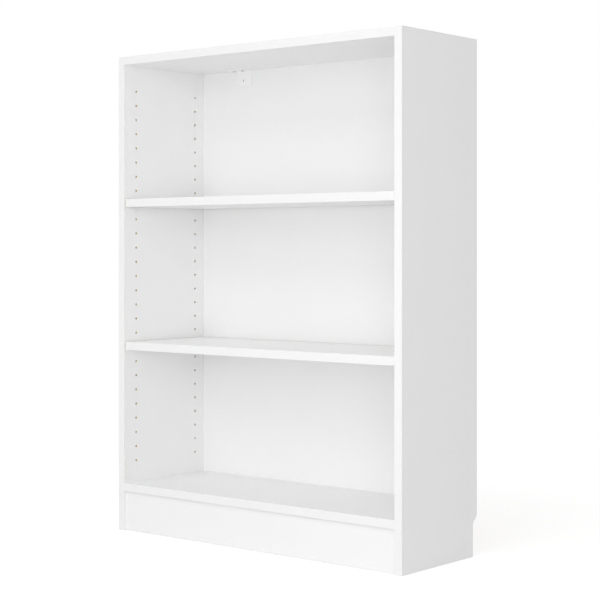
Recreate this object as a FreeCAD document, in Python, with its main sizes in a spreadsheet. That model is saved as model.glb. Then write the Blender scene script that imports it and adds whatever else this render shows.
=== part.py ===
import FreeCAD, Part
import os
import re
import Sketcher

# A low open bookcase of white melamine-faced board.
# Two full-height sides hold a top, a fixed bottom shelf, a plinth and a thin nailed back.
# Two loose shelves rest on pins in rows of drilled holes.
# Millimetres, +Z up, the front at -Y, and the origin on the floor below the middle of the case.

SIZES = {
    # The case and its boards
    "case_width": 784,
    "case_depth": 262,
    "case_height": 1060,
    "board_thickness": 18,
    "edge_band_thickness": 1,
    # How far a cutter runs past the face that it leaves
    "overrun": 1,
    # The plinth, and the notch that lets the sides pass a skirting board
    "plinth_height": 88,
    "plinth_recess": 6,
    "plinth_floor_gap": 1,
    "skirting_notch_depth": 15,
    "skirting_notch_height": 68,
    # The back panel in its rebates
    "back_thickness": 3,
    "back_recess": 1,
    "back_rebate_width": 9,
    "back_side_play": 0.5,
    "back_top_gap": 1,
    # The nails of the back panel
    "nail_radius": 0.8,
    "nail_length": 20,
    "nail_head_radius": 2.5,
    "nail_head_thickness": 0.7,
    "nail_play": 0.05,
    "nail_end_inset": 60,
    # Two upright drilling lines on each side, on one pitch with the fittings
    "front_line_setback": 37,
    "rear_line_setback": 33,
    "row_pitch": 32,
    "first_row_height": 153,
    "top_row_clearance": 50,
    "pin_hole_radius": 2.5,
    "pin_hole_depth": 10,
    # The shelf pins
    "pin_play": 0.05,
    "pin_end_gap": 1,
    "pin_collar_radius": 4,
    "pin_collar_thickness": 1,
    "pin_head_radius": 2.6,
    "pin_head_length": 10,
    "pin_flat_height": 2.2,
    # The loose shelves, and the recesses that hide the pins
    "shelf_end_play": 1.5,
    "shelf_front_setback": 2,
    "shelf_back_gap": 2,
    "shelf_rest_gap": 0.2,
    "pin_inset": 5,
    "pin_recess_end_gap": 2.5,
    "pin_recess_play": 0.4,
    # Cam locks in the top and in the bottom shelf
    "cam_inset": 34,
    "cam_radius": 7.4,
    "cam_roof": 0.6,
    "cam_face_recess": 0.3,
    "cam_play": 0.2,
    "cam_drive_radius": 1.6,
    "cam_drive_depth": 2.5,
    "cam_cross_length": 8,
    "cam_cross_width": 1.4,
    "cam_cross_depth": 1.2,
    # Cam bolts from the sides into the cam locks
    "bolt_radius": 3,
    "bolt_thread_length": 11,
    "bolt_neck_radius": 2,
    "bolt_neck_length": 4,
    "bolt_head_radius": 3.3,
    "bolt_head_length": 3,
    "bolt_play": 0.05,
    "bolt_end_gap": 0.5,
    "bolt_channel_play": 0.4,
    # Caps over the cam locks of the top
    "cap_radius": 8.5,
    "cap_thickness": 0.9,
    "cap_boss_play": 0.2,
    "cap_boss_gap": 0.8,
    # Dowels
    "dowel_radius": 3.95,
    "dowel_side_length": 12,
    "dowel_panel_length": 22,
    "dowel_play": 0.05,
    "dowel_end_gap": 0.5,
    "plinth_dowel_inset": 25,
    # The wall brackets and their screws
    "bracket_inset": 130,
    "bracket_width": 44,
    "bracket_reach": 34,
    "bracket_drop": 36,
    "bracket_thickness": 2,
    "bracket_bend_radius": 2,
    "bracket_corner": 5,
    "bracket_screw_setback": 13,
    "bracket_screw_spacing": 26,
    "bracket_screw_play": 0.25,
    "wall_hole_drop": 23,
    "wall_hole_radius": 3,
    "wall_hole_play": 1,
    "screw_radius": 1.75,
    "screw_length": 14,
    "screw_head_radius": 3.5,
    "screw_head_height": 2.2,
    "screw_cross_length": 3.6,
    "screw_cross_width": 0.8,
    "screw_cross_depth": 1.2,
    "screw_play": 0.05,
    "screw_end_gap": 1,
}

# Places and lengths that follow from the sizes
DERIVED = {
    "half_width": "case_width / 2",
    "half_depth": "case_depth / 2",
    "inner_half": "half_width - board_thickness",
    "front_face": "-half_depth",
    "core_front": "front_face + edge_band_thickness",
    "back_rebate_depth": "back_thickness + back_recess",
    "back_seat": "half_depth - back_rebate_depth",
    "board_depth": "back_seat - core_front",
    "top_underside": "case_height - board_thickness",
    "top_middle": "case_height - board_thickness / 2",
    "bottom_middle": "plinth_height + board_thickness / 2",
    "plinth_front": "front_face + plinth_recess",
    "plinth_middle": "plinth_front + board_thickness / 2",
    "back_half": "inner_half + back_rebate_width - back_side_play",
    "back_height": "case_height - back_top_gap - plinth_height",
    "back_rear": "back_seat + back_thickness",
    "front_line": "front_face + front_line_setback",
    "rear_line": "half_depth - rear_line_setback",
    "front_dowel_line": "front_line + row_pitch",
    "rear_dowel_line": "rear_line - row_pitch",
    "pin_shank_length": "pin_hole_depth - pin_end_gap",
    "shelf_half": "inner_half - shelf_end_play",
    "shelf_front": "front_face + shelf_front_setback",
    "shelf_core_front": "shelf_front + edge_band_thickness",
    "shelf_core_depth": "back_seat - shelf_back_gap - shelf_core_front",
    "pin_recess_length": "pin_head_length - shelf_end_play + pin_recess_end_gap",
    "pin_recess_width": "pin_head_radius * 2 + pin_recess_play * 2",
    "pin_recess_height": "pin_inset + pin_flat_height + shelf_rest_gap",
    "cam_mouth_radius": "bolt_head_radius + cam_play",
    "cam_height": "board_thickness / 2 - cam_face_recess + cam_mouth_radius + cam_roof",
    "cam_pocket_radius": "cam_radius + cam_play",
    "cam_pocket_depth": "cam_face_recess + cam_height + cam_play",
    "cap_boss_radius": "cam_drive_radius - cap_boss_play",
    "cap_boss_length": "cam_face_recess + cam_drive_depth - cap_boss_gap",
    "bolt_shaft_length": "cam_inset - bolt_head_length / 2 - bolt_neck_length",
    "bolt_channel_radius": "bolt_head_radius + bolt_channel_play",
    "bracket_middle": "inner_half - bracket_inset",
    "bracket_left": "-bracket_middle - bracket_width / 2",
    "bracket_bend_outer": "bracket_bend_radius + bracket_thickness",
    "bracket_front": "back_seat - bracket_reach",
    "bracket_face": "back_seat - bracket_thickness",
    "bracket_foot": "top_underside - bracket_drop",
    "bracket_screw_line": "bracket_front + bracket_screw_setback",
    "bracket_underside": "top_underside - bracket_thickness",
    "wall_hole_level": "top_underside - wall_hole_drop",
}

# As many rows of pin holes as fit below the top
HIGHEST_ROW = SIZES["case_height"] - SIZES["board_thickness"] - SIZES["top_row_clearance"]
HOLE_ROWS = int((HIGHEST_ROW - SIZES["first_row_height"]) / SIZES["row_pitch"]) + 1
# Rows of pin holes below the row that carries each loose shelf
LOWER_SHELF_ROW_COUNT = 8
UPPER_SHELF_ROW_COUNT = 18
NAILS_PER_SIDE = 6
NAILS_PER_BOARD = 5
QUARTER_TURN = 90

ALONG_X = FreeCAD.Vector(1, 0, 0)
ALONG_Y = FreeCAD.Vector(0, 1, 0)
UP = FreeCAD.Vector(0, 0, 1)
LEFT, RIGHT = -1, 1
HANDS = (LEFT, RIGHT)
FITTING_LINES = ("front_line", "rear_line")
DOWEL_LINES = ("front_dowel_line", "rear_dowel_line")
# The middle and the underside of each board that is held by cam locks
CAM_LEVELS = {"top": ("top_middle", "top_underside"), "bottom": ("bottom_middle", "plinth_height")}
# The line and the height of every dowel at one end of each board
PLINTH_DOWEL_LEVELS = ("plinth_dowel_inset", "plinth_height - plinth_dowel_inset")
DOWEL_PLACES = {
    "top": [(line, "top_middle") for line in DOWEL_LINES],
    "bottom": [(line, "bottom_middle") for line in DOWEL_LINES],
    "plinth": [("plinth_middle", level) for level in PLINTH_DOWEL_LEVELS],
}

doc = FreeCAD.newDocument("bookcase")
sheet = doc.addObject("Spreadsheet::Sheet", "Sizes")
for row, (alias, size) in enumerate(SIZES.items(), start=1):
    sheet.set(f"A{row}", str(size))
    sheet.setAlias(f"A{row}", alias)
doc.recompute()

nodes = []


def formula(text):
    """Writes a sum in words as an expression on the sheet's cells."""
    def word(match):
        name = match.group()
        if name in DERIVED:
            return f"({formula(DERIVED[name])})"
        return f"Sizes.{name}"
    return re.sub(r"[a-z_]+", word, text)


def bind(item, **sums):
    for name, text in sums.items():
        item.setExpression(name, formula(text))
    return item


def put(item, at):
    for axis, text in zip("xyz", at):
        item.setExpression(f"Placement.Base.{axis}", formula(text))
    return item


def block(name, size, corner):
    """A box from its lowest corner."""
    length, width, height = size
    box = bind(doc.addObject("Part::Box", name), Length=length, Width=width, Height=height)
    return put(box, corner)


def rod(name, radius, length, start, axis=UP):
    """A round bar or drill hole from the middle of its first end."""
    bar = bind(doc.addObject("Part::Cylinder", name), Radius=radius, Height=length)
    bar.Placement.Rotation = FreeCAD.Rotation(UP, axis)
    return put(bar, start)


def joined(name, pieces):
    union = doc.addObject("Part::MultiFuse", name)
    union.Shapes = pieces
    return union


def group(name, pieces):
    """Separate solids that share one name."""
    compound = doc.addObject("Part::Compound", name)
    compound.Links = pieces
    return compound


def cut(name, base, tools):
    rest = doc.addObject("Part::Cut", name)
    rest.Base = base
    rest.Tool = joined(f"{name}_tools", tools) if len(tools) > 1 else tools[0]
    return rest


def mirrored(name, source):
    """The other hand of a piece, across the middle of the case."""
    image = doc.addObject("Part::Mirroring", name)
    image.Source = source
    image.Normal = ALONG_X
    return image


def node(piece):
    nodes.append(piece)
    return piece


def inwards(hand):
    return ALONG_X * -hand


def side_profile(body):
    """The outline of a side: a rectangle with a sloped notch at its rear foot."""
    plane = next(p for p in body.Origin.OriginFeatures if p.Role == "YZ_Plane")
    sketch = body.newObject("Sketcher::SketchObject", "side_outline")
    sketch.AttachmentSupport = (plane, [""])
    sketch.MapMode = "FlatFace"
    # Starting places only: the named dimensions below set the real ones
    rear = SIZES["case_depth"] / 2
    step = SIZES["skirting_notch_depth"]
    foot = SIZES["skirting_notch_height"]
    head = SIZES["case_height"]
    outline = [(-rear, 0), (rear - step, 0), (rear - step, foot), (rear, foot + step)]
    outline += [(rear, head), (-rear, head)]
    corners = [FreeCAD.Vector(y, z, 0) for y, z in outline]
    for first, second in zip(corners, corners[1:] + corners[:1]):
        sketch.addGeometry(Part.LineSegment(first, second))
    sides = len(corners)
    start, end = 1, 2
    for line in range(sides):
        sketch.addConstraint(Sketcher.Constraint("Coincident", line, end, (line + 1) % sides, start))
    foot_edge, notch_edge, slope, rear_edge, top_edge, front_edge = range(sides)
    for line in (foot_edge, top_edge):
        sketch.addConstraint(Sketcher.Constraint("Horizontal", line))
    for line in (notch_edge, rear_edge, front_edge):
        sketch.addConstraint(Sketcher.Constraint("Vertical", line))
    origin = -1
    sketch.addConstraint(Sketcher.Constraint("PointOnObject", foot_edge, start, origin))
    dimensions = {
        "front": ("DistanceX", (foot_edge, start, origin, start), rear, "-core_front"),
        "rear": ("DistanceX", (origin, start, rear_edge, start), rear, "half_depth"),
        "notch_depth": ("DistanceX", (slope, start, slope, end), step, "skirting_notch_depth"),
        "notch_slope": ("DistanceY", (slope, start, slope, end), step, "skirting_notch_depth"),
        "notch_height": ("DistanceY", (notch_edge, start, notch_edge, end), foot, "skirting_notch_height"),
        "height": ("DistanceY", (front_edge, end, front_edge, start), head,
                   "case_height - edge_band_thickness"),
    }
    for name, (kind, points, value, text) in dimensions.items():
        index = sketch.addConstraint(Sketcher.Constraint(kind, *points, value))
        sketch.renameConstraint(index, name)
        sketch.setExpression(f"Constraints.{name}", formula(text))
    return sketch


def back_rebate():
    """The step along the rear inner edge of the left side, where the back panel lies."""
    return block(
        "back_rebate",
        ("back_rebate_width + overrun", "back_rebate_depth + overrun", "case_height + overrun * 2"),
        ("-inner_half - back_rebate_width", "back_seat", "-overrun"),
    )


def pin_holes():
    return [
        rod("pin_hole", "pin_hole_radius", "pin_hole_depth + overrun",
            ("-inner_half - pin_hole_depth", line, f"first_row_height + {row} * row_pitch"), ALONG_X)
        for line in FITTING_LINES
        for row in range(HOLE_ROWS)
    ]


def bolt_holes(hand):
    """Holes in a side for the threads of the cam bolts."""
    return [
        rod("bolt_hole", "bolt_radius + bolt_play", "bolt_thread_length + bolt_end_gap + overrun",
            (f"{hand} * (inner_half + bolt_thread_length + bolt_end_gap)", line, middle), inwards(hand))
        for middle, _ in CAM_LEVELS.values()
        for line in FITTING_LINES
    ]


def dowel_holes(hand, which):
    """Holes that run from a side into the end of a board, one for each dowel."""
    return [
        rod("dowel_hole", "dowel_radius + dowel_play",
            "dowel_side_length + dowel_panel_length + dowel_end_gap * 2",
            (f"{hand} * (inner_half + dowel_side_length + dowel_end_gap)", line, level), inwards(hand))
        for line, level in DOWEL_PLACES[which]
    ]


def dowels(name, which):
    return node(group(name, [
        rod("dowel", "dowel_radius", "dowel_side_length + dowel_panel_length",
            (f"{hand} * (inner_half + dowel_side_length)", line, level), inwards(hand))
        for hand in HANDS
        for line, level in DOWEL_PLACES[which]
    ]))


def nail_places():
    """Each nail of the back panel: along both sides, then along the top and the bottom shelf."""
    rise = "(back_height - nail_end_inset * 2)"
    span = "(inner_half - nail_end_inset) * 2"
    places = []
    for hand in HANDS:
        for step in range(NAILS_PER_SIDE):
            level = f"plinth_height + nail_end_inset + {step} / {NAILS_PER_SIDE - 1} * {rise}"
            places.append((f"{hand} * (inner_half + back_rebate_width / 2)", level))
    for level in ("top_middle", "bottom_middle"):
        for step in range(NAILS_PER_BOARD):
            places.append((f"nail_end_inset - inner_half + {step} / {NAILS_PER_BOARD - 1} * {span}", level))
    return places


def nail_holes():
    return [
        rod("nail_hole", "nail_radius + nail_play", "nail_length + overrun",
            (across, "back_rear - nail_length", level), ALONG_Y)
        for across, level in nail_places()
    ]


def nails():
    pieces = []
    for across, level in nail_places():
        shank = rod("nail_shank", "nail_radius", "nail_length",
                    (across, "back_rear - nail_length", level), ALONG_Y)
        head = rod("nail_head", "nail_head_radius", "nail_head_thickness",
                   (across, "back_rear", level), ALONG_Y)
        pieces.append(joined("nail", [shank, head]))
    return node(group("back_panel_nails", pieces))


def left_side(nail_drill):
    """The left side: its outline cut from board, then rebated and drilled."""
    body = doc.addObject("PartDesign::Body", "left_side_board")
    profile = side_profile(body)
    pad = body.newObject("PartDesign::Pad", "left_side_pad")
    pad.Profile = profile
    bind(pad, Length="board_thickness")
    put(body, ("-half_width", "0", "0"))
    drills = pin_holes() + bolt_holes(LEFT)
    for which in DOWEL_PLACES:
        drills += dowel_holes(LEFT, which)
    drilled = cut("left_side_drilled", body, drills + [back_rebate()])
    return node(cut("left_side_panel", drilled, [nail_drill]))


def left_side_bands():
    """Bands on the front edge, and on the top end, which the rebate crosses."""
    front = block("left_side_front_band", ("board_thickness", "edge_band_thickness", "case_height"),
                  ("-half_width", "front_face", "0"))
    end = block("side_top_strip",
                ("board_thickness", "case_depth - edge_band_thickness", "edge_band_thickness"),
                ("-half_width", "core_front", "case_height - edge_band_thickness"))
    return [node(front), node(cut("left_side_top_band", end, [back_rebate()]))]


def front_band(name, half, front, foot):
    """The band along the front edge of a board between the sides."""
    size = (f"{half} * 2", "edge_band_thickness", "board_thickness")
    return node(block(name, size, (f"-{half}", front, foot)))


def cam_cuts(middle, underside):
    """A pocket from below for each cam lock, and its channel from the end of the board."""
    tools = []
    for hand in HANDS:
        for line in FITTING_LINES:
            tools.append(rod("cam_pocket", "cam_pocket_radius", "cam_pocket_depth + overrun",
                             (f"{hand} * (inner_half - cam_inset)", line, f"{underside} - overrun")))
            tools.append(rod("bolt_channel", "bolt_channel_radius", "cam_inset + overrun",
                             (f"{hand} * (inner_half + overrun)", line, middle), inwards(hand)))
    return tools


def fixed_board(name, which, nail_drill, extra_cuts):
    """The top or the bottom shelf, from its core, its fittings and its edge band."""
    middle, underside = CAM_LEVELS[which]
    core = block(f"{which}_core", ("inner_half * 2", "board_depth", "board_thickness"),
                 ("-inner_half", "core_front", underside))
    drills = cam_cuts(middle, underside) + extra_cuts
    for hand in HANDS:
        drills += dowel_holes(hand, which)
    board = cut(f"{which}_drilled", core, drills)
    node(cut(name, board, [nail_drill]))
    front_band(f"{name.replace('_panel', '')}_edge_band", "inner_half", "front_face", underside)


def cross_recess(name, length, width, depth, middle):
    """Two crossed slots for a driver, upwards from a face."""
    x, y, z = middle
    spans = ((length, width), (width, length))
    return [
        block(name, (across, along, f"{depth} + overrun"),
              (f"{x} - {across} / 2", f"{y} - {along} / 2", f"{z} - overrun"))
        for across, along in spans
    ]


def cam_locks(name, which):
    """Drums with a driver's cross below and an opening for the head of the bolt."""
    middle, underside = CAM_LEVELS[which]
    face = f"{underside} + cam_face_recess"
    locks = []
    for hand in HANDS:
        x = f"{hand} * (inner_half - cam_inset)"
        for line in FITTING_LINES:
            drum = rod("cam_drum", "cam_radius", "cam_height", (x, line, face))
            mouth = rod("cam_mouth", "cam_mouth_radius", "cam_radius + bolt_head_length + overrun",
                        (f"{x} - {hand} * bolt_head_length", line, middle), inwards(-hand))
            drive = rod("cam_drive", "cam_drive_radius", "cam_drive_depth + overrun",
                        (x, line, f"{face} - overrun"))
            cross = cross_recess("cam_cross", "cam_cross_length", "cam_cross_width", "cam_cross_depth",
                                 (x, line, face))
            locks.append(cut("cam_lock", drum, [mouth, drive] + cross))
    return node(group(name, locks))


def cam_bolts(name, which):
    """Bolts with a thread in the side, a shaft, a thin neck and a head in the cam lock."""
    middle, _ = CAM_LEVELS[which]
    bolts = []
    for hand in HANDS:
        stations = [
            ("bolt_shank", "bolt_radius", "bolt_thread_length + bolt_shaft_length",
             "inner_half + bolt_thread_length"),
            ("bolt_neck", "bolt_neck_radius", "bolt_neck_length", "inner_half - bolt_shaft_length"),
            ("bolt_head", "bolt_head_radius", "bolt_head_length",
             "inner_half - bolt_shaft_length - bolt_neck_length"),
        ]
        for line in FITTING_LINES:
            bolts.append(joined("cam_bolt", [
                rod(part, radius, length, (f"{hand} * ({start})", line, middle), inwards(hand))
                for part, radius, length, start in stations
            ]))
    return node(group(name, bolts))


def cam_caps():
    """Discs that hide the cam locks of the top, each held by a boss in the driver's hole."""
    caps = []
    for hand in HANDS:
        x = f"{hand} * (inner_half - cam_inset)"
        for line in FITTING_LINES:
            disc = rod("cap_disc", "cap_radius", "cap_thickness", (x, line, "top_underside - cap_thickness"))
            boss = rod("cap_boss", "cap_boss_radius", "cap_boss_length", (x, line, "top_underside"))
            caps.append(joined("cam_cap", [disc, boss]))
    return node(group("top_cam_caps", caps))


def plinth():
    board = block("plinth_board", ("inner_half * 2", "board_thickness", "plinth_height - plinth_floor_gap"),
                  ("-inner_half", "plinth_front", "plinth_floor_gap"))
    return node(cut("plinth", board, [hole for hand in HANDS for hole in dowel_holes(hand, "plinth")]))


def back_panel(nail_drill):
    """One thin sheet, with a hole behind each wall bracket for the screw into the wall."""
    sheet_board = block("back_sheet", ("back_half * 2", "back_thickness", "back_height"),
                        ("-back_half", "back_seat", "plinth_height"))
    wall_holes = [
        rod("back_wall_hole", "wall_hole_radius + wall_hole_play", "back_thickness + overrun * 2",
            (f"{hand} * bracket_middle", "back_seat - overrun", "wall_hole_level"), ALONG_Y)
        for hand in HANDS
    ]
    pierced = cut("back_pierced", sheet_board, wall_holes)
    return node(cut("back_panel", pierced, [nail_drill]))


def loose_shelf(name, rows_below):
    """A shelf with recesses below its ends that drop over the pins of one row."""
    level = f"first_row_height + {rows_below} * row_pitch"
    underside = f"{level} - pin_inset"
    core = block(f"{name}_core", ("shelf_half * 2", "shelf_core_depth", "board_thickness"),
                 ("-shelf_half", "shelf_core_front", underside))
    recesses = []
    for low_end in ("-shelf_half - overrun", "shelf_half - pin_recess_length"):
        for line in FITTING_LINES:
            recesses.append(block(
                "pin_recess",
                ("pin_recess_length + overrun", "pin_recess_width", "pin_recess_height + overrun"),
                (low_end, f"{line} - pin_recess_width / 2", f"{underside} - overrun"),
            ))
    node(cut(name, core, recesses))
    front_band(f"{name}_edge_band", "shelf_half", "shelf_front", underside)
    shelf_pins(f"{name}_pins", level)


def shelf_pins(name, level):
    """Pins with a shank in the side, a collar against it and a head with a flat to rest on."""
    pins = []
    for hand in HANDS:
        for line in FITTING_LINES:
            shank = rod("pin_shank", "pin_hole_radius - pin_play", "pin_shank_length",
                        (f"{hand} * (inner_half + pin_shank_length)", line, level), inwards(hand))
            collar = rod("pin_collar", "pin_collar_radius", "pin_collar_thickness",
                         (f"{hand} * inner_half", line, level), inwards(hand))
            head = rod("pin_head", "pin_head_radius", "pin_head_length",
                       (f"{hand} * inner_half", line, level), inwards(hand))
            shaving = block("pin_flat", ("pin_head_length * 2", "pin_head_radius * 2", "pin_head_radius"),
                            (f"{hand} * inner_half - pin_head_length", f"{line} - pin_head_radius",
                             f"{level} + pin_flat_height"))
            pins.append(joined("shelf_pin", [shank, collar, cut("pin_head_cut", head, [shaving])]))
    return node(group(name, pins))


def bracket_screw_places(bracket_hand):
    """The two screws of the bracket on one hand of the case."""
    return [
        (f"{bracket_hand} * bracket_middle + {hand} * bracket_screw_spacing / 2", "bracket_screw_line")
        for hand in HANDS
    ]


def bracket_screw_holes(radius, bracket_hand):
    """Holes through a bracket's upper leg into the top."""
    return [
        rod("bracket_screw_hole", radius, "screw_length + screw_end_gap + overrun",
            (x, y, "bracket_underside - overrun"))
        for x, y in bracket_screw_places(bracket_hand)
    ]


def bracket_legs():
    """One leg below the top and one on the back panel, with rounded corners at their free ends."""
    tip = "bracket_width - bracket_corner * 2"
    tip_left = "bracket_left + bracket_corner"
    legs = [
        block("bracket_upper_leg",
              ("bracket_width", "bracket_reach - bracket_bend_outer - bracket_corner", "bracket_thickness"),
              ("bracket_left", "bracket_front + bracket_corner", "bracket_underside")),
        block("bracket_upper_tip", (tip, "bracket_corner", "bracket_thickness"),
              (tip_left, "bracket_front", "bracket_underside")),
        block("bracket_back_leg",
              ("bracket_width", "bracket_thickness", "bracket_drop - bracket_bend_outer - bracket_corner"),
              ("bracket_left", "bracket_face", "bracket_foot + bracket_corner")),
        block("bracket_back_tip", (tip, "bracket_thickness", "bracket_corner"),
              (tip_left, "bracket_face", "bracket_foot")),
    ]
    for hand in HANDS:
        x = f"-bracket_middle + {hand} * (bracket_width / 2 - bracket_corner)"
        legs.append(rod("bracket_upper_corner", "bracket_corner", "bracket_thickness",
                        (x, "bracket_front + bracket_corner", "bracket_underside")))
        legs.append(rod("bracket_back_corner", "bracket_corner", "bracket_thickness",
                        (x, "bracket_face", "bracket_foot + bracket_corner"), ALONG_Y))
    return legs


def left_wall_bracket():
    """A bent strip that is screwed to the top, with a hole for a screw into the wall."""
    bend_axis = ("bracket_left", "back_seat - bracket_bend_outer", "top_underside - bracket_bend_outer")
    outer = rod("bracket_bend_outside", "bracket_bend_outer", "bracket_width", bend_axis)
    inner = rod("bracket_bend_inside", "bracket_bend_radius", "bracket_width", bend_axis)
    for quarter in (outer, inner):
        quarter.Angle = QUARTER_TURN
        quarter.Placement.Rotation = FreeCAD.Rotation(ALONG_Y, UP, ALONG_X, "ZXY")
    strip = joined("bracket_strip", bracket_legs() + [cut("bracket_bend", outer, [inner])])
    wall_hole = rod("bracket_wall_hole", "wall_hole_radius", "bracket_thickness + overrun * 2",
                    ("-bracket_middle", "bracket_face - overrun", "wall_hole_level"), ALONG_Y)
    holes = bracket_screw_holes("screw_radius + bracket_screw_play", LEFT)
    return node(cut("left_wall_bracket", strip, [wall_hole] + holes))


def left_wall_bracket_screws():
    """Screws with round flat heads and a driver's cross."""
    screws = []
    head_face = "bracket_underside - screw_head_height"
    for x, y in bracket_screw_places(LEFT):
        head = rod("screw_head", "screw_head_radius", "screw_head_height", (x, y, head_face))
        shank = rod("screw_shank", "screw_radius", "screw_length", (x, y, "bracket_underside"))
        cross = cross_recess("screw_cross", "screw_cross_length", "screw_cross_width", "screw_cross_depth",
                             (x, y, head_face))
        screws.append(cut("screw", joined("screw_blank", [head, shank]), cross))
    return node(group("left_wall_bracket_screws", screws))


def build():
    nail_drill = joined("nail_drill", nail_holes())
    left_pieces = [left_side(nail_drill), *left_side_bands()]
    left_pieces += [left_wall_bracket(), left_wall_bracket_screws()]
    for piece in left_pieces:
        node(mirrored(piece.Label.replace("left", "right"), piece))
    bracket_drill = [hole for hand in HANDS for hole in bracket_screw_holes("screw_radius + screw_play", hand)]
    fixed_board("top_panel", "top", nail_drill, bracket_drill)
    fixed_board("bottom_shelf", "bottom", nail_drill, [])
    plinth()
    back_panel(nail_drill)
    nails()
    loose_shelf("upper_shelf", UPPER_SHELF_ROW_COUNT)
    loose_shelf("lower_shelf", LOWER_SHELF_ROW_COUNT)
    for which in ("top", "bottom"):
        cam_locks(f"{which}_cam_locks", which)
        cam_bolts(f"{which}_cam_bolts", which)
    cam_caps()
    dowels("top_dowels", "top")
    dowels("bottom_shelf_dowels", "bottom")
    dowels("plinth_dowels", "plinth")


def check():
    """Stops before anything is written if an object failed or a piece is not sound."""
    for item in doc.Objects:
        if {"Invalid", "Error"} & set(item.State):
            raise RuntimeError(f"{item.Label} failed: {item.State}")
    for piece in nodes:
        if piece.Shape.isNull() or not piece.Shape.isValid():
            raise RuntimeError(f"{piece.Label} has no sound shape")


build()
doc.recompute()
check()
os.makedirs("parts", exist_ok=True)
for piece in nodes:
    piece.Shape.exportStep(f"parts/{piece.Label}.step")
    print(piece.Label, len(piece.Shape.Solids), "solids", round(piece.Shape.Volume), "mm3")
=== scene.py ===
# %% [markdown]
# # A low white bookcase, dressed over its CAD model
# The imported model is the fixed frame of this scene. Each board already stands where it belongs, in
# metres, with the open front towards -Y and the floor at Z = 0, so no board is modelled or placed a
# second time.
# This lesson gives those pieces their worked edges and their finishes, builds the small fittings anew in
# finer shape, and then sets up the light and the camera.

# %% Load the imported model
import math
import bmesh
import bpy
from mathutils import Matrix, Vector


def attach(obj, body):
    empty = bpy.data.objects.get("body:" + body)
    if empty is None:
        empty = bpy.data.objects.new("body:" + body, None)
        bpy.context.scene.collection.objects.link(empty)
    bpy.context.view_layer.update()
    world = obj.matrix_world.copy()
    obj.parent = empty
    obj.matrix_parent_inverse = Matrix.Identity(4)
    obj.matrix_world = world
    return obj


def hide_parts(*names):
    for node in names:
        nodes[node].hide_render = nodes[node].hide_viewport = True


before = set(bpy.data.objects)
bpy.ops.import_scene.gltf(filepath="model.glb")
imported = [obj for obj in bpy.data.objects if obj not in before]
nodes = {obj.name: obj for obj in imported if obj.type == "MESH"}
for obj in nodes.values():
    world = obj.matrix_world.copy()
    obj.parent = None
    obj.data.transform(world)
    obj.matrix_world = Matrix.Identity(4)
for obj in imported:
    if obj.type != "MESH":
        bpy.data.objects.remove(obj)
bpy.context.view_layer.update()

# %% [markdown]
# ## Worked edges
# On the real bookcase no edge is razor sharp: the saw and the edge bander leave boards with arrises of a
# few tenths of a millimetre, and cast and bent fittings are tumbled. Those small rounds catch the light,
# and where two boards meet they draw the fine joint line that tells the eye that these are separate
# pieces.
# The rounds could be modelled by hand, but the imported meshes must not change. Modifiers work on a copy,
# so they suit. Weld joins the corners that the file keeps apart, Decimate merges flat triangles back into
# whole faces, Bevel rounds what is left, and Weighted Normal keeps the large faces flat.

# %% Edge radius of each kind of piece
ARRIS_MM = {
    "back_panel": 0.2, "panel": 0.3, "shelf": 0.3, "plinth": 0.3, "band": 0.4, "locks": 0.25, "bracket": 0.35,
}


def arris_of(name):
    """The radius of the first kind that ends the piece's name, or None for a fitting that is built anew."""
    return next((radius for kind, radius in ARRIS_MM.items() if name.endswith(kind)), None)


kept = [name for name in nodes if arris_of(name)]
print(len(kept), "pieces keep their CAD shape and get rounded edges")

# %% Round the edges
MM = 0.001
SAME_CORNER = 0.01 * MM
FLAT_ANGLE, SHARP_ANGLE = math.radians(1), math.radians(35)
ARRIS_STEPS = 2

for name in kept:
    piece = nodes[name]
    weld = piece.modifiers.new("joined corners", "WELD")
    weld.merge_threshold = SAME_CORNER
    flats = piece.modifiers.new("whole faces", "DECIMATE")
    flats.decimate_type = "DISSOLVE"
    flats.angle_limit = FLAT_ANGLE
    arris = piece.modifiers.new("arris", "BEVEL")
    arris.width = arris_of(name) * MM
    arris.segments = ARRIS_STEPS
    arris.limit_method = "ANGLE"
    arris.angle_limit = SHARP_ANGLE
    arris.use_clamp_overlap = False
    piece.modifiers.new("flat shading", "WEIGHTED_NORMAL")
print("rounded them by", sorted(set(ARRIS_MM.values())), "mm")

# %% [markdown]
# ## Small tools for materials
# A colour picked on a screen is an sRGB value, and a shader counts in linear light, so one function turns
# hex values into linear ones. One function adds a node, sets it and links it. And because pattern sizes
# are easiest to think of in millimetres, one turns a size into the scale that a texture node wants.
# Sockets can be named by number. A Mix node takes its factor in 0, two numbers in 2 and 3 or two colours
# in 6 and 7, and gives the number in output 0 or the colour in output 2. A Map Range node takes its value
# in 0, the range that it has in 1 and 2, and the range that it gets in 3 and 4.

# %% Colour, node and scale
def linear(hex_value):
    parts = [int(hex_value[i:i + 2], 16) / 255 for i in (1, 3, 5)]
    return tuple(p / 12.92 if p <= 0.04045 else ((p + 0.055) / 1.055) ** 2.4 for p in parts) + (1.0,)


def add(tree, kind, inputs=None, **settings):
    """Adds a node. Each input is a value, or the output that feeds it."""
    node = tree.nodes.new(kind)
    for name, value in settings.items():
        setattr(node, name, value)
    for socket, value in (inputs or {}).items():
        if isinstance(value, bpy.types.NodeSocket):
            tree.links.new(value, node.inputs[socket])
        else:
            node.inputs[socket].default_value = value
    return node


def per_metre(size_mm):
    return 1000 / size_mm


def blank(name):
    """A new material with an empty tree."""
    material = bpy.data.materials.new(name)
    material.use_nodes = True
    material.node_tree.nodes.clear()
    return material, material.node_tree


print("white #F1F1EF in linear light:", [round(c, 3) for c in linear("#F1F1EF")])

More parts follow.
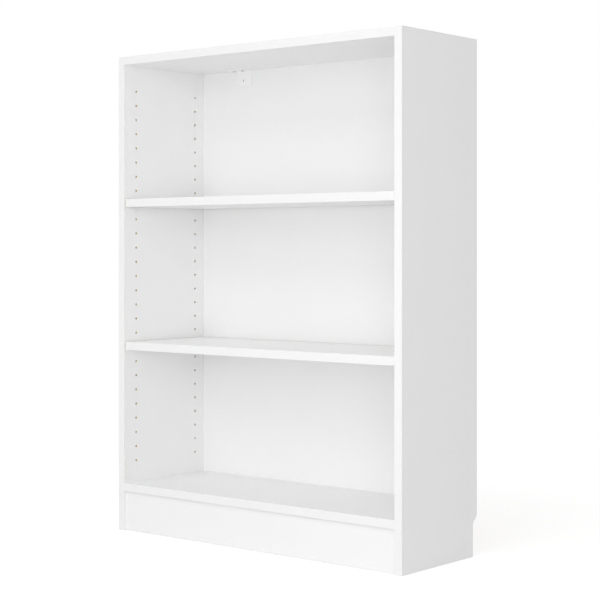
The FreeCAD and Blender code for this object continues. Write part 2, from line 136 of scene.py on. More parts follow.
# %% [markdown]
# ## Melamine-faced particleboard
# The boards are particleboard with a white printed paper on both faces, pressed with melamine resin
# against a finely grained plate. To the eye the faces are an even, neutral white with a satin sheen, and
# every cut shows the core: tan chips, fine near the faces and coarse in the middle.
# Faces and core could be two materials on two sets of faces, but the rounded edges are made by a modifier
# and have no faces of their own yet. So one material asks two questions at each point. Does the surface
# look along the board's thickness, and is it outermost there? Only then is it paper.

# %% Where a board shows paper
BOARD_MM = 18
PAPER_WITHIN_MM = 0.5
# How far a normal has to lie along an axis, from 0 to 1, for its surface to look that way
SQUARELY = 0.6


def paper_of(tree, across):
    """1 on paper and 0 on the core, and the place in the board: 0 in its middle and 0.5 at its faces."""
    normal = add(tree, "ShaderNodeNewGeometry").outputs["True Normal"]
    facing = add(tree, "ShaderNodeSeparateXYZ", {0: normal})
    along = add(tree, "ShaderNodeMath", {0: facing.outputs[across]}, operation="ABSOLUTE")
    squarely = add(tree, "ShaderNodeMath", {0: along.outputs[0], 1: SQUARELY}, operation="GREATER_THAN")
    place = add(tree, "ShaderNodeTexCoord").outputs["Generated"]
    through = add(tree, "ShaderNodeSeparateXYZ", {0: place})
    middle = add(tree, "ShaderNodeMath", {0: through.outputs[across], 1: 0.5}, operation="SUBTRACT")
    depth = add(tree, "ShaderNodeMath", {0: middle.outputs[0]}, operation="ABSOLUTE").outputs[0]
    outermost = add(tree, "ShaderNodeMath", {0: depth, 1: 0.5 - PAPER_WITHIN_MM / BOARD_MM},
                    operation="GREATER_THAN")
    paper = add(tree, "ShaderNodeMath", {0: squarely.outputs[0], 1: outermost.outputs[0]},
                operation="MULTIPLY")
    return paper.outputs[0], depth


print("paper is the outer", PAPER_WITHIN_MM, "mm of a board of", BOARD_MM, "mm")

# %% The core of a board
# It has three layers: fine pale dust near the faces, and coarse chips in the middle
DUST_PALE, DUST_DARK = "#F0E6D2", "#DFCFB0"
CHIP_PALE, CHIP_DARK = "#DEC8A0", "#A5855A"
DUST_MM, CHIP_MM = 0.5, 3
DUST_LAYER_MM, LAYER_FADE_MM = 5, 1


def core_of(tree, place, depth):
    """The colour of cut particleboard, and the relief of its chips."""
    # Each chip has a tone of its own
    chips = add(tree, "ShaderNodeTexVoronoi", {
        "Vector": place, "Scale": per_metre(CHIP_MM), "Randomness": 1.0})
    tone = add(tree, "ShaderNodeSeparateColor", {0: chips.outputs["Color"]})
    coarse = add(tree, "ShaderNodeMix", {0: tone.outputs[0], 6: linear(CHIP_PALE), 7: linear(CHIP_DARK)},
                 data_type="RGBA")
    dust = add(tree, "ShaderNodeTexNoise", {"Vector": place, "Scale": per_metre(DUST_MM), "Detail": 2})
    fine = add(tree, "ShaderNodeMix", {0: dust.outputs["Fac"], 6: linear(DUST_PALE), 7: linear(DUST_DARK)},
               data_type="RGBA")
    layer = add(tree, "ShaderNodeMapRange", {
        0: depth, 1: 0.5 - (DUST_LAYER_MM + LAYER_FADE_MM) / BOARD_MM, 2: 0.5 - DUST_LAYER_MM / BOARD_MM})
    core = add(tree, "ShaderNodeMix", {0: layer.outputs[0], 6: coarse.outputs[2], 7: fine.outputs[2]},
               data_type="RGBA")
    return core.outputs[2], chips.outputs["Distance"]


print("chips of", CHIP_MM, "mm between layers of dust of", DUST_LAYER_MM, "mm")

# %% The whole board
PAPER_WHITES = ("#F7F7F7", "#F5F5F5")
# A press plate never prints quite evenly: clouds about a hand wide
CLOUD_MM = 90
# The plate's grain is about 0.6 mm: it is drawn at 4 mm, as it would not show in the render
GRAIN_MM = 4
SATIN_FROM, SATIN_TO = 0.36, 0.48
CORE_ROUGHNESS = 0.9
MELAMINE_IOR = 1.6
BOARD_RELIEF = {"Strength": 0.35, "Distance": 0.1 * MM}


def melamine_board(name, across, whites=PAPER_WHITES):
    """The finish of a board whose thickness lies along the axis that across names."""
    pale, shade = whites
    material, tree = blank(name)
    place = add(tree, "ShaderNodeTexCoord").outputs["Object"]
    paper, depth = paper_of(tree, across)
    core, chips = core_of(tree, place, depth)
    clouds = add(tree, "ShaderNodeTexNoise", {"Vector": place, "Scale": per_metre(CLOUD_MM), "Detail": 3})
    white = add(tree, "ShaderNodeMix", {0: clouds.outputs["Fac"], 6: linear(pale), 7: linear(shade)},
                data_type="RGBA")
    colour = add(tree, "ShaderNodeMix", {0: paper, 6: core, 7: white.outputs[2]}, data_type="RGBA")
    grain = add(tree, "ShaderNodeTexNoise", {"Vector": place, "Scale": per_metre(GRAIN_MM), "Detail": 2})
    satin = add(tree, "ShaderNodeMapRange", {0: grain.outputs["Fac"], 3: SATIN_FROM, 4: SATIN_TO})
    rough = add(tree, "ShaderNodeMix", {0: paper, 2: CORE_ROUGHNESS, 3: satin.outputs[0]})
    relief = add(tree, "ShaderNodeMix", {0: paper, 2: chips, 3: grain.outputs["Fac"]})
    bump = add(tree, "ShaderNodeBump", {"Height": relief.outputs[0], **BOARD_RELIEF})
    surface = add(tree, "ShaderNodeBsdfPrincipled", {
        "Base Color": colour.outputs[2], "Roughness": rough.outputs[0], "IOR": MELAMINE_IOR,
        "Normal": bump.outputs[0]})
    add(tree, "ShaderNodeOutputMaterial", {0: surface.outputs[0]})
    return material


print("the plate's grain is drawn at", GRAIN_MM, "mm")

# %% Dress the boards
# Painted shade: the plinth's paper is drawn a touch greyer than the same paper on the other boards, which
# darkens this low front board
PLINTH_PAINTED_SHADE_WHITES = ("#F1F1F1", "#EEEEEE")


def dress(material, *names):
    """Puts a material in a piece's only slot."""
    for name in names:
        nodes[name].data.materials.clear()
        nodes[name].data.materials.append(material)
    print(material.name, "on", ", ".join(names))


dress(melamine_board("melamine_particleboard_sides", "X"), "left_side_panel", "right_side_panel")
dress(melamine_board("melamine_particleboard_shelves", "Z"),
      "top_panel", "upper_shelf", "lower_shelf", "bottom_shelf")
# The plinth wears a greyer copy of the board finish, as painted shade
dress(melamine_board("melamine_particleboard_plinth", "Y", PLINTH_PAINTED_SHADE_WHITES), "plinth")

# %% [markdown]
# ## ABS edge band
# The front edges, and the top ends of the sides, carry a strip of white ABS, glued on and trimmed. It is
# a touch greyer than the paper, with the same satin sheen, and the trimming knife leaves faint chatter
# across it. It could share the boards' recipe, but a strip is one plain surface all round, so one short
# tree is enough.

# %% Edge band finish
BAND_WHITE, BAND_SHADE = "#EEEEEE", "#ECECEC"
BAND_CLOUD_MM = 60
# Knife marks about 1.5 mm apart, drawn at 5 mm so that they show
CHATTER_MM = 5
ABS_IOR = 1.54

edge_band, tree = blank("abs_edge_band")
place = add(tree, "ShaderNodeTexCoord").outputs["Object"]
clouds = add(tree, "ShaderNodeTexNoise", {"Vector": place, "Scale": per_metre(BAND_CLOUD_MM), "Detail": 2})
colour = add(tree, "ShaderNodeMix", {0: clouds.outputs["Fac"], 6: linear(BAND_WHITE), 7: linear(BAND_SHADE)},
             data_type="RGBA")
chatter = add(tree, "ShaderNodeTexNoise", {"Vector": place, "Scale": per_metre(CHATTER_MM), "Detail": 2})
gloss = add(tree, "ShaderNodeMapRange", {0: chatter.outputs["Fac"], 3: SATIN_FROM, 4: SATIN_TO})
bump = add(tree, "ShaderNodeBump", {"Height": chatter.outputs["Fac"], "Strength": 0.3, "Distance": 0.1 * MM})
surface = add(tree, "ShaderNodeBsdfPrincipled", {
    "Base Color": colour.outputs[2], "Roughness": gloss.outputs[0], "IOR": ABS_IOR,
    "Normal": bump.outputs[0]})
add(tree, "ShaderNodeOutputMaterial", {0: surface.outputs[0]})
dress(edge_band, *[name for name in nodes if name.endswith("band")])

# %% [markdown]
# ## Hardboard back
# The back is one sheet of 3 mm hardboard: wood fibre pressed hard and brown, with a white lacquer rolled
# on its front only. From behind it is the warmest and darkest thing on the bookcase, clouded where the
# pulp lay thicker, and the wire screen that drained the pulp has left its fine mesh in it. An image of
# real hardboard would repeat over a sheet this large, so noise makes the clouds and fibres and two
# crossed waves make the mesh. The same question as before picks the side: a surface that looks towards
# the front wears lacquer.

# %% Bare fibre
FIBRE_PALE, FIBRE_DARK = "#A98660", "#7C5B3C"
PULP_THICK = "#6F5136"
PULP_CLOUD_MM = 120
# Fibre bundles are a few millimetres long, and bent
FIBRE_MM, FIBRE_BEND = 6, 1.5

hardboard, tree = blank("lacquered_hardboard")
place = add(tree, "ShaderNodeTexCoord").outputs["Object"]
clouds = add(tree, "ShaderNodeTexNoise", {"Vector": place, "Scale": per_metre(PULP_CLOUD_MM), "Detail": 3})
fibres = add(tree, "ShaderNodeTexNoise", {
    "Vector": place, "Scale": per_metre(FIBRE_MM), "Detail": 6, "Roughness": 0.7, "Distortion": FIBRE_BEND})
brown = add(tree, "ShaderNodeMix", {0: fibres.outputs["Fac"], 6: linear(FIBRE_PALE), 7: linear(FIBRE_DARK)},
            data_type="RGBA")
# Only the denser clouds count as thick pulp, and they take half of its tone at most
thick = add(tree, "ShaderNodeMapRange", {0: clouds.outputs["Fac"], 1: 0.4, 2: 0.75, 3: 0.0, 4: 0.5})
clouded = add(tree, "ShaderNodeMix", {0: thick.outputs[0], 6: brown.outputs[2], 7: linear(PULP_THICK)},
              data_type="RGBA")
print("fibres of", FIBRE_MM, "mm in clouds of", PULP_CLOUD_MM, "mm")

# %% Marks of the wire screen
# The screen's wires are 1.5 mm apart: they are drawn 7 mm apart, so that the mesh shows
WIRE_MM, WIRE_WAVER = 7, 0.6
# A wave texture of scale 1 has a band every pi / 10 of a metre
WAVE_UNIT = math.pi / 10

wires = [add(tree, "ShaderNodeTexWave", {
    "Vector": place, "Scale": per_metre(WIRE_MM) * WAVE_UNIT, "Distortion": WIRE_WAVER},
    wave_type="BANDS", bands_direction=axis).outputs["Fac"] for axis in ("X", "Z")]
mesh_mark = add(tree, "ShaderNodeMath", {0: wires[0], 1: wires[1]}, operation="MAXIMUM")
# Only the crest of each wave is a mark, and it stays faint
marked = add(tree, "ShaderNodeMapRange", {0: mesh_mark.outputs[0], 1: 0.6, 2: 1.0, 3: 0.0, 4: 0.3})
screened = add(tree, "ShaderNodeMix", {0: marked.outputs[0], 6: clouded.outputs[2], 7: linear(FIBRE_DARK)},
               data_type="RGBA")
print("wires crossed every", WIRE_MM, "mm")

# %% Lacquer on the front
LACQUER_WHITE, LACQUER_SHADE = "#F7F7F7", "#F5F5F5"
LACQUER_ROUGHNESS, FIBRE_ROUGHNESS = 0.5, 0.7
LACQUER_IOR = 1.5

normal = add(tree, "ShaderNodeNewGeometry").outputs["True Normal"]
facing = add(tree, "ShaderNodeSeparateXYZ", {0: normal})
lacquer = add(tree, "ShaderNodeMath", {0: facing.outputs["Y"], 1: -SQUARELY},
              operation="LESS_THAN").outputs[0]
white = add(tree, "ShaderNodeMix", {
    0: clouds.outputs["Fac"], 6: linear(LACQUER_WHITE), 7: linear(LACQUER_SHADE)}, data_type="RGBA")
colour = add(tree, "ShaderNodeMix", {0: lacquer, 6: screened.outputs[2], 7: white.outputs[2]},
             data_type="RGBA")
rough = add(tree, "ShaderNodeMix", {0: lacquer, 2: FIBRE_ROUGHNESS, 3: LACQUER_ROUGHNESS})
# The lacquer fills the front, where only the fibres still print through
rear_relief = add(tree, "ShaderNodeMath", {0: fibres.outputs["Fac"], 1: mesh_mark.outputs[0]},
                  operation="SUBTRACT")
relief = add(tree, "ShaderNodeMix", {0: lacquer, 2: rear_relief.outputs[0], 3: fibres.outputs["Fac"]})
bump = add(tree, "ShaderNodeBump", {"Height": relief.outputs[0], "Strength": 0.2, "Distance": 0.1 * MM})
surface = add(tree, "ShaderNodeBsdfPrincipled", {
    "Base Color": colour.outputs[2], "Roughness": rough.outputs[0], "IOR": LACQUER_IOR,
    "Normal": bump.outputs[0]})
add(tree, "ShaderNodeOutputMaterial", {0: surface.outputs[0]})
dress(hardboard, "back_panel")

# %% [markdown]
# ## Metal fittings
# Shelf pins are turned steel with a warm, bright nickel plate. Bolts, nails and screws are steel with a
# thin zinc plate, cooler and duller, and the cam locks are die-cast zinc with the grain of the mould.
# Each could have a tree of its own, but all three are one kind of surface: a metal colour with a mottled
# roughness. So a table of three rows feeds one recipe.

# %% Plated and cast metal
METALS = {
    # Bright and dull colour, lowest and highest roughness, size of the mottling in millimetres
    "nickel_plated_steel": ("#D6CDBF", "#C7BEB0", 0.18, 0.32, 3),
    "zinc_plated_steel": ("#CFD3D6", "#B4B9BE", 0.28, 0.45, 2),
    "die_cast_zinc": ("#B9BCBE", "#9A9DA0", 0.4, 0.6, 1.5),
}


def plated_metal(name):
    bright, dull, smooth, rough, mottle_mm = METALS[name]
    material, tree = blank(name)
    place = add(tree, "ShaderNodeTexCoord").outputs["Object"]
    mottle = add(tree, "ShaderNodeTexNoise", {"Vector": place, "Scale": per_metre(mottle_mm), "Detail": 3})
    colour = add(tree, "ShaderNodeMix", {0: mottle.outputs["Fac"], 6: linear(bright), 7: linear(dull)},
                 data_type="RGBA")
    spread = add(tree, "ShaderNodeMapRange", {0: mottle.outputs["Fac"], 3: smooth, 4: rough})
    surface = add(tree, "ShaderNodeBsdfPrincipled", {
        "Base Color": colour.outputs[2], "Metallic": 1.0, "Roughness": spread.outputs[0]})
    add(tree, "ShaderNodeOutputMaterial", {0: surface.outputs[0]})
    return material


nickel, zinc_plate, cast_zinc = [plated_metal(name) for name in METALS]
dress(cast_zinc, "top_cam_locks", "bottom_cam_locks")

# %% [markdown]
# ## Small white pieces
# The caps over the cam locks are moulded polypropylene, soft and matt, and the wall brackets are steel
# with a white powder coat, whose beads melt into a glossy, faint orange peel. A clear coat over white
# could draw that too, but both are white with a fine relief, so they share a recipe.

# %% Moulded and powder-coated white
WHITES = {
    # Colour, shade, lowest and highest roughness, IOR, size and depth of the relief in millimetres
    "moulded_polypropylene": ("#F1F1EE", "#ECECE9", 0.38, 0.5, 1.49, 1.0, 0.02),
    "powder_coated_steel": ("#FCFCFC", "#FAFAFA", 0.2, 0.32, 1.5, 1.5, 0.04),
}


def fine_white(name):
    white, shade, smooth, rough, ior, relief_mm, depth_mm = WHITES[name]
    material, tree = blank(name)
    place = add(tree, "ShaderNodeTexCoord").outputs["Object"]
    relief = add(tree, "ShaderNodeTexNoise", {"Vector": place, "Scale": per_metre(relief_mm), "Detail": 2})
    colour = add(tree, "ShaderNodeMix", {0: relief.outputs["Fac"], 6: linear(white), 7: linear(shade)},
                 data_type="RGBA")
    spread = add(tree, "ShaderNodeMapRange", {0: relief.outputs["Fac"], 3: smooth, 4: rough})
    bump = add(tree, "ShaderNodeBump", {
        "Height": relief.outputs["Fac"], "Strength": 0.5, "Distance": depth_mm * MM})
    surface = add(tree, "ShaderNodeBsdfPrincipled", {
        "Base Color": colour.outputs[2], "Roughness": spread.outputs[0], "IOR": ior,
        "Normal": bump.outputs[0]})
    add(tree, "ShaderNodeOutputMaterial", {0: surface.outputs[0]})
    return material


polypropylene, powder_coat = [fine_white(name) for name in WHITES]
dress(powder_coat, "left_wall_bracket", "right_wall_bracket")

# %% [markdown]
# ## Beech dowels
# The dowels are turned beech: pale pink-brown and matt, with the grain along the pin and short dark
# flecks. Growth rings could be drawn as waves, but a dowel is too thin to show a whole ring. They lie
# along X, so a noise that is stretched along X gives the flecks and the grain at once.

# %% Beech
BEECH_PALE, BEECH_DARK = "#DDB98F", "#B98A5C"
BEECH_SMOOTH, BEECH_ROUGH = 0.55, 0.7
FLECK_MM = 0.8
# Flecks are about twelve times as long as they are wide
GRAIN_SQUEEZE = (0.08, 1, 1)

beech, tree = blank("turned_beech")
place = add(tree, "ShaderNodeTexCoord").outputs["Object"]
stretched = add(tree, "ShaderNodeMapping", {"Vector": place, "Scale": GRAIN_SQUEEZE})
grain = add(tree, "ShaderNodeTexNoise", {
    "Vector": stretched.outputs[0], "Scale": per_metre(FLECK_MM), "Detail": 4})
colour = add(tree, "ShaderNodeMix", {0: grain.outputs["Fac"], 6: linear(BEECH_PALE), 7: linear(BEECH_DARK)},
             data_type="RGBA")
rough = add(tree, "ShaderNodeMapRange", {0: grain.outputs["Fac"], 3: BEECH_SMOOTH, 4: BEECH_ROUGH})
bump = add(tree, "ShaderNodeBump", {"Height": grain.outputs["Fac"], "Strength": 0.4, "Distance": 0.1 * MM})
surface = add(tree, "ShaderNodeBsdfPrincipled", {
    "Base Color": colour.outputs[2], "Roughness": rough.outputs[0], "Normal": bump.outputs[0]})
add(tree, "ShaderNodeOutputMaterial", {0: surface.outputs[0]})
print("beech flecks of", FLECK_MM, "mm, drawn out along X")

# %% [markdown]
# ## Fittings, ring by ring
# Nails, screws, bolts, pins, caps and dowels all come off a lathe, a thread roller or a mould, so each is
# a stack of rings along one axis. The CAD model keeps them as plain cylinders, which is right for the
# holes that they sit in. A Screw modifier could spin a profile, but a thread, a flute or a cross recess
# isn't round. So a ring here is a distance along the axis and a radius, and the radius may be a function
# of the angle.
# One function skins the rings into a closed mesh. Another finds where each solid of a CAD node lies, and
# a third puts a copy there, inside the old outline, so that every hole still fits.

# %% Skin rings into a solid
def evenly(count):
    return [math.tau * i / count for i in range(count)]


def skin(mesh, start, along, rings, angles):
    """Adds a closed solid. Rings are in millimetres, and their angles start from the top or from +X."""
    zero = Vector((1, 0, 0)) if along.z else Vector((0, 0, 1))
    quarter = along.cross(zero)
    loops = []
    for distance, radius in rings:
        loop = []
        for angle in angles:
            reach = radius(angle) if callable(radius) else radius
            spoke = zero * math.cos(angle) + quarter * math.sin(angle)
            loop.append(mesh.verts.new(start + (along * distance + spoke * reach) * MM))
        loops.append(loop)
    for loop, after in zip(loops, loops[1:]):
        for i in range(len(angles)):
            mesh.faces.new((loop[i - 1], loop[i], after[i], after[i - 1]))
    mesh.faces.new(loops[0][::-1])
    mesh.faces.new(loops[-1])


print("a ring of 16 points has one every", round(math.degrees(evenly(16)[1]), 1), "degrees")

# %% Find the solids of a node
def solids_of(name):
    """The lowest and highest corner of each separate solid of a CAD node."""
    mesh = bmesh.new()
    mesh.from_mesh(nodes[name].data)
    bmesh.ops.remove_doubles(mesh, verts=mesh.verts, dist=SAME_CORNER)
    waiting, boxes = set(mesh.verts), []
    while waiting:
        front, corners = [waiting.pop()], []
        while front:
            vert = front.pop()
            corners.append(vert.co.copy())
            near = {edge.other_vert(vert) for edge in vert.link_edges} & waiting
            waiting -= near
            front += near
        boxes.append([[pick(corner[i] for corner in corners) for i in range(3)] for pick in (min, max)])
    mesh.free()
    return sorted(boxes)


print("the back panel has", len(solids_of("back_panel_nails")), "nails")

# %% Put a fitting in each place
def stand(name, data):
    """A new object in the scene."""
    thing = bpy.data.objects.new(name, data)
    bpy.context.scene.collection.objects.link(thing)
    return thing


def fit(name, stands_for, material, axis, rings, angles):
    """A piece of the carcass, with one copy of the rings for each solid of the node that it stands for."""
    mesh = bmesh.new()
    for low, high in solids_of(stands_for):
        middle = (Vector(low) + Vector(high)) / 2
        # A piece that lies along X starts in its side panel and points inwards
        along = Vector(axis) * (-1 if axis[0] and middle.x > 0 else 1)
        length = sum(abs(a) * (h - l) for a, l, h in zip(along, low, high))
        skin(mesh, middle - along * length / 2, along, rings, angles)
    data = bpy.data.meshes.new(name)
    mesh.to_mesh(data)
    mesh.free()
    data.shade_smooth()
    data.set_sharp_from_angle(angle=SHARP_ANGLE)
    data.materials.append(material)
    piece = stand(name, data)
    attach(piece, "carcass")
    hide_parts(stands_for)
    print(name, "of", max(ring[0] for ring in rings), "mm, in CAD solids of", round(length / MM, 1), "mm")


print(len(nodes) - len(kept), "nodes are small fittings, to be built anew")

# %% [markdown]
# ## Nails
# The back is held by small panel nails: a point, a smooth shank, a stretch of grip rings under the head,
# and a thin domed head, which is all that shows. Each could be a lathed curve, but only the rings' radii
# differ, so a list of pairs, each a distance and a radius in millimetres, says it all.

# %% Ring-shank nails
GRIP_FROM, GRIP_STEP, GRIP_RINGS = 13.2, 0.3, 20

NAIL_POINT = [(0, 0.1), (2.4, 0.8), (13, 0.8)]
NAIL_GRIP = [(GRIP_FROM + GRIP_STEP * i, 0.8 if i % 2 else 0.62) for i in range(GRIP_RINGS)]
NAIL_HEAD = [(20, 0.8), (20, 2.3), (20.12, 2.5), (20.3, 2.42), (20.5, 2.0), (20.64, 1.3), (20.7, 0.5)]

fit("ring_shank_nails", "back_panel_nails", zinc_plate, (0, 1, 0),
    NAIL_POINT + NAIL_GRIP + NAIL_HEAD, evenly(16))

# %% [markdown]
# ## Screws and cam bolts
# Screws hold the wall brackets to the top, and cam bolts pull the sides to the top and to the bottom
# shelf. Both have a thread and a cross recess, which the eye looks for on a screw. A thread could be a
# swept profile, but as a ring it is simpler: a ridge that climbs one pitch in each turn, so at a given
# ring it is at the angle that the turns up to there leave over. A cross recess is a ring too, as each
# direction from the middle meets the cross's outline once. The ring's points then have to include the
# cross's corners, so the angles are chosen for that.

# %% Threads
RINGS_PER_PITCH = 8
RIDGE_SHARE = 0.6


def thread(start, end, core, crest, pitch):
    """Rings whose ridge fades in and out within one pitch of the ends."""
    count = round((end - start) / pitch * RINGS_PER_PITCH)
    rings = []
    for i in range(count + 1):
        distance = start + (end - start) * i / count
        height = (crest - core) * min(1, (distance - start) / pitch, (end - distance) / pitch)

        def radius(angle, turns=distance / pitch, height=height):
            off_crest = abs((turns - angle / math.tau) % 1 - 0.5)
            return core + height * max(0, 1 - off_crest / (RIDGE_SHARE / 2))

        rings.append((distance, radius))
    return rings


print("a thread of 10 mm with a pitch of 2 mm has", len(thread(0, 10, 2, 3, 2)), "rings")

# %% Cross recesses
# Keeps a division by a sine or cosine of zero finite
TINY = 1e-6


def cross(half_length, half_width):
    """The radius of a cross's outline at an angle."""
    def radius(angle):
        c, s = max(abs(math.cos(angle)), TINY), max(abs(math.sin(angle)), TINY)
        return max(min(half_length / c, half_width / s), min(half_width / c, half_length / s))
    return radius


ARM_LENGTH, ARM_HALF_WIDTH = 1.8, 0.4
RECESS_RIM, RECESS_FLOOR = cross(ARM_LENGTH, ARM_HALF_WIDTH), cross(1.5, 0.34)
# Each quarter turn has a point at the corners of its two arms, at the nook between them, and a few more
ARM_CORNER = math.degrees(math.atan(ARM_HALF_WIDTH / ARM_LENGTH))
CROSS_ANGLES = [math.radians(90 * turn + step) for turn in range(4)
                for step in (0, ARM_CORNER, 29, 45, 61, 90 - ARM_CORNER)]
print("a ring with a cross has", len(CROSS_ANGLES), "points")

# %% Pan-head screws
SCREW_SHANK = [(0, 0.12), (2, 1.1)] + thread(2.2, 12.6, 1.1, 1.75, 1.6) + [(13, 1.3), (14, 1.3)]
SCREW_HEAD = [(14, 3.3), (14.15, 3.5), (14.9, 3.45), (15.5, 3.1), (15.95, 2.5), (16.2, 1.95),
              (16.2, RECESS_RIM), (15, RECESS_FLOOR)]

for hand in ("left", "right"):
    fit(f"{hand}_pan_head_screws", f"{hand}_wall_bracket_screws", zinc_plate, (0, 0, -1),
        SCREW_SHANK + SCREW_HEAD, CROSS_ANGLES)

# %% Threaded cam bolts
BOLT_THREAD = [(0, 1.9), (0.5, 2.3)] + thread(0.6, 10.8, 2.3, 3, 2.4)
BOLT_SHAFT = [(10.9, 2.9), (11, 3), (12.2, 3), (12.5, 2.7), (38, 2.7), (38.3, 3), (39.3, 3), (39.5, 2.8)]
BOLT_HEAD = [(39.5, 2), (43.5, 2), (43.5, 3.1), (43.7, 3.3), (45.5, 3.3), (46.2, 2.95), (46.5, 2.4),
             (46.5, RECESS_RIM), (45.3, RECESS_FLOOR)]

for level in ("top", "bottom"):
    fit(f"{level}_threaded_cam_bolts", f"{level}_cam_bolts", zinc_plate, (1, 0, 0),
        BOLT_THREAD + BOLT_SHAFT + BOLT_HEAD, CROSS_ANGLES)

# %% [markdown]
# ## Shelf pins
# A pin has a shank with a shallow grip groove, a collar that stops at the side panel, and a head with a
# flat on top that the shelf rests on. The flat could be cut with a Boolean, but here it is a ring that is
# cut off at one height: there the radius grows with the angle, until the round takes over.

# %% Turned pins
PIN_FLAT = 2.2


def flattened(round_radius):
    return lambda angle: min(round_radius, PIN_FLAT / max(math.cos(angle), TINY))


PIN_SHANK = [(0, 1.9), (0.2, 2.2), (0.6, 2.45), (2.8, 2.45), (3.1, 2.25), (4.2, 2.25), (4.5, 2.45), (9, 2.45)]
PIN_COLLAR = [(9, 3.85), (9.15, 4), (9.8, 4), (10, 3.8)]
PIN_HEAD = [(10, flattened(2.6)), (18.5, flattened(2.6)), (18.85, flattened(2.45)), (19, flattened(2.1))]

for which in ("upper", "lower"):
    fit(f"{which}_turned_pins", f"{which}_shelf_pins", nickel, (1, 0, 0),
        PIN_SHANK + PIN_COLLAR + PIN_HEAD, evenly(48))

# %% [markdown]
# ## Caps and dowels
# A cap is a thin lens with a ribbed stud that plugs into the cam lock's drive, and the stud's ribs are a
# cross again. A dowel is rolled between fluted dies, which leaves grooves that let air and glue escape,
# and its ends are chamfered. The grooves could be cut one by one, but as rings the radius just dips at
# one angle in four, which makes each groove a narrow V.

# %% Moulded caps
CAP_LENS = [(0, 2.5), (0.08, 5), (0.25, 7.2), (0.45, 8.2), (0.65, 8.5), (0.9, 8.4)]
CAP_STUD = [(0.9, cross(1.38, 0.31)), (2.6, cross(1.38, 0.31)), (2.9, cross(1.1, 0.25))]

fit("moulded_caps", "top_cam_caps", polypropylene, (0, 0, 1),
    CAP_LENS + CAP_STUD, CROSS_ANGLES)

# %% Fluted dowels
FLUTES = 20
FLUTE_DEPTH = 0.35


def fluted(radius):
    return lambda angle: radius - FLUTE_DEPTH * max(0, math.cos(FLUTES * angle))


DOWEL = [(0, 2.8), (0.4, fluted(3.3)), (1.2, fluted(3.95)),
         (32.8, fluted(3.95)), (33.6, fluted(3.3)), (34, 2.8)]

for name in ("top", "bottom_shelf", "plinth"):
    fit(f"{name}_fluted_dowels", f"{name}_dowels", beech, (1, 0, 0), DOWEL, evenly(FLUTES * 4))

# %% [markdown]
# ## Floor and background
# The picture has a plain white ground. A white room would light the bookcase from all sides and flatten
# it, so the white is only for the camera: Light Path tells the floor and the world which rays come from
# there, or from a mirror or glass that shows the ground. Near the bookcase the floor still takes a
# quarter of its brightness from the lamps, which keeps a faint shadow at the feet.

# %% Floor
FLOOR_HALF = 12

corners = [(x * FLOOR_HALF, y * FLOOR_HALF, 0) for x, y in ((-1, -1), (1, -1), (1, 1), (-1, 1))]
floor_mesh = bpy.data.meshes.new("studio_floor")
floor_mesh.from_pydata(corners, [], [(0, 1, 2, 3)])
floor = stand("studio_floor", floor_mesh)
print("a floor of", FLOOR_HALF * 2, "m")

# %% Seamless paper
SHADOW_REACH, WHITE_FROM = 0.6, 1.6
GLOW_NEAR = 0.72
# What the lamps add near the bookcase, and what the floor throws back at it
LIT_NEAR, LIT_FAR, FLOOR_TONE = "#A8A8A8", "#000000", "#E8E8E8"


def seen_directly(tree):
    """1 for rays from the camera, a mirror or glass, and 0 for light on its way to the bookcase."""
    rays = add(tree, "ShaderNodeLightPath").outputs
    seen = add(tree, "ShaderNodeMath", {0: rays["Is Camera Ray"], 1: rays["Is Glossy Ray"]},
               operation="MAXIMUM")
    seen = add(tree, "ShaderNodeMath", {0: seen.outputs[0], 1: rays["Is Transmission Ray"]},
               operation="MAXIMUM")
    return seen.outputs[0]


paper, tree = blank("white_seamless_paper")
place = add(tree, "ShaderNodeTexCoord").outputs["Object"]
away = add(tree, "ShaderNodeVectorMath", {0: place}, operation="LENGTH")
far = add(tree, "ShaderNodeMapRange", {0: away.outputs["Value"], 1: SHADOW_REACH, 2: WHITE_FROM})
glow = add(tree, "ShaderNodeMapRange", {0: far.outputs[0], 3: GLOW_NEAR, 4: 1.0})
glowing = add(tree, "ShaderNodeEmission", {0: linear("#FFFFFF"), 1: glow.outputs[0]})
partly_lit = add(tree, "ShaderNodeMix", {0: far.outputs[0], 6: linear(LIT_NEAR), 7: linear(LIT_FAR)},
                 data_type="RGBA")
shaded = add(tree, "ShaderNodeBsdfDiffuse", {0: partly_lit.outputs[2]})
shown = add(tree, "ShaderNodeAddShader", {0: glowing.outputs[0], 1: shaded.outputs[0]})
plain = add(tree, "ShaderNodeBsdfDiffuse", {0: linear(FLOOR_TONE)})
either = add(tree, "ShaderNodeMixShader", {0: seen_directly(tree), 1: plain.outputs[0], 2: shown.outputs[0]})
add(tree, "ShaderNodeOutputMaterial", {0: either.outputs[0]})
floor_mesh.materials.append(paper)
print("the floor is white from", WHITE_FROM, "m out")

# %% World
DOME_STRENGTH = 0.56

world = bpy.data.worlds.new("studio_dome")
bpy.context.scene.world = world
world.use_nodes = True
tree = world.node_tree
tree.nodes.clear()
level = add(tree, "ShaderNodeMapRange", {0: seen_directly(tree), 3: DOME_STRENGTH, 4: 1.0})
dome = add(tree, "ShaderNodeBackground", {0: linear("#FFFFFF"), 1: level.outputs[0]})
add(tree, "ShaderNodeOutputWorld", {0: dome.outputs[0]})
print("a dome of strength", DOME_STRENGTH)

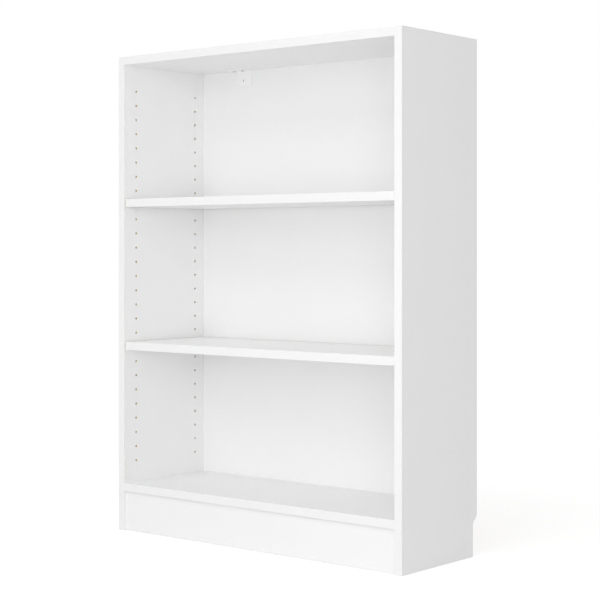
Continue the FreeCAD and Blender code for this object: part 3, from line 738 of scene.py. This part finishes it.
# %% [markdown]
# ## Light
# The photograph has the soft, even light of a product studio: front edges are brightest, the bays are a
# little darker, and the outer side and the underside of the top are darkest. One lamp can't give all
# that.
# So a high and distant box in front lights the tops and fronts evenly, a box at the right front lifts the
# outer side, a low card sends some light up under the boards, a box behind rims the rear, and the dome
# fills the rest. They are just weak enough that the white back doesn't clip when the shelves are lifted
# and more light falls in.

# %% Soft boxes
MIDDLE = (0, 0, 0.5)
SOFT_BOXES = {
    # Place, what it points at, length of its sides in metres, power in watts
    "high_front_box": ((0, -5.7, 6.2), MIDDLE, 5.0, 160),
    "right_front_box": ((2.2, -3.0, 0.9), MIDDLE, 2.0, 35),
    "floor_card": ((0.3, -1.6, 0.4), (0, 0, 0.6), 0.8, 2.6),
    "rear_box": ((-2.2, 3.0, 1.6), MIDDLE, 2.0, 35),
}

for name, (place, target, size, watts) in SOFT_BOXES.items():
    lamp = bpy.data.lights.new(name, "AREA")
    lamp.shape = "SQUARE"
    lamp.size = size
    lamp.energy = watts
    holder = stand(name, lamp)
    holder.location = place
    holder.rotation_euler = (Vector(target) - Vector(place)).to_track_quat("-Z", "Y").to_euler()
    holder.visible_camera = False
    print(name, watts, "W from", place)

# %% [markdown]
# ## Camera
# The photograph was taken from the right front, at a bit over half the bookcase's height. Its uprights
# stay parallel, so the camera looks level, and the lens is shifted down instead of tilted. Place, turn
# and lens come from a fit of the CAD model's corners to the photograph's edges.

# %% Camera
EYE = (2.151, -2.553, 0.629)
LEVEL, TURN = math.radians(90), math.radians(39.74)
FOCAL_PX, IMAGE_PX = 1552.95, 600
AXIS_ROW_PX = 249.4
SENSOR_MM = 36

lens = bpy.data.cameras.new("camera")
lens.sensor_width = SENSOR_MM
lens.lens = SENSOR_MM * FOCAL_PX / IMAGE_PX
lens.shift_y = (AXIS_ROW_PX - IMAGE_PX / 2) / IMAGE_PX
camera = stand("camera", lens)
camera.location = EYE
camera.rotation_euler = (LEVEL, 0, TURN)
bpy.context.scene.camera = camera
bpy.context.scene.view_settings.view_transform = "Standard"
print("lens", round(lens.lens, 1), "mm, shift", round(lens.shift_y, 4))
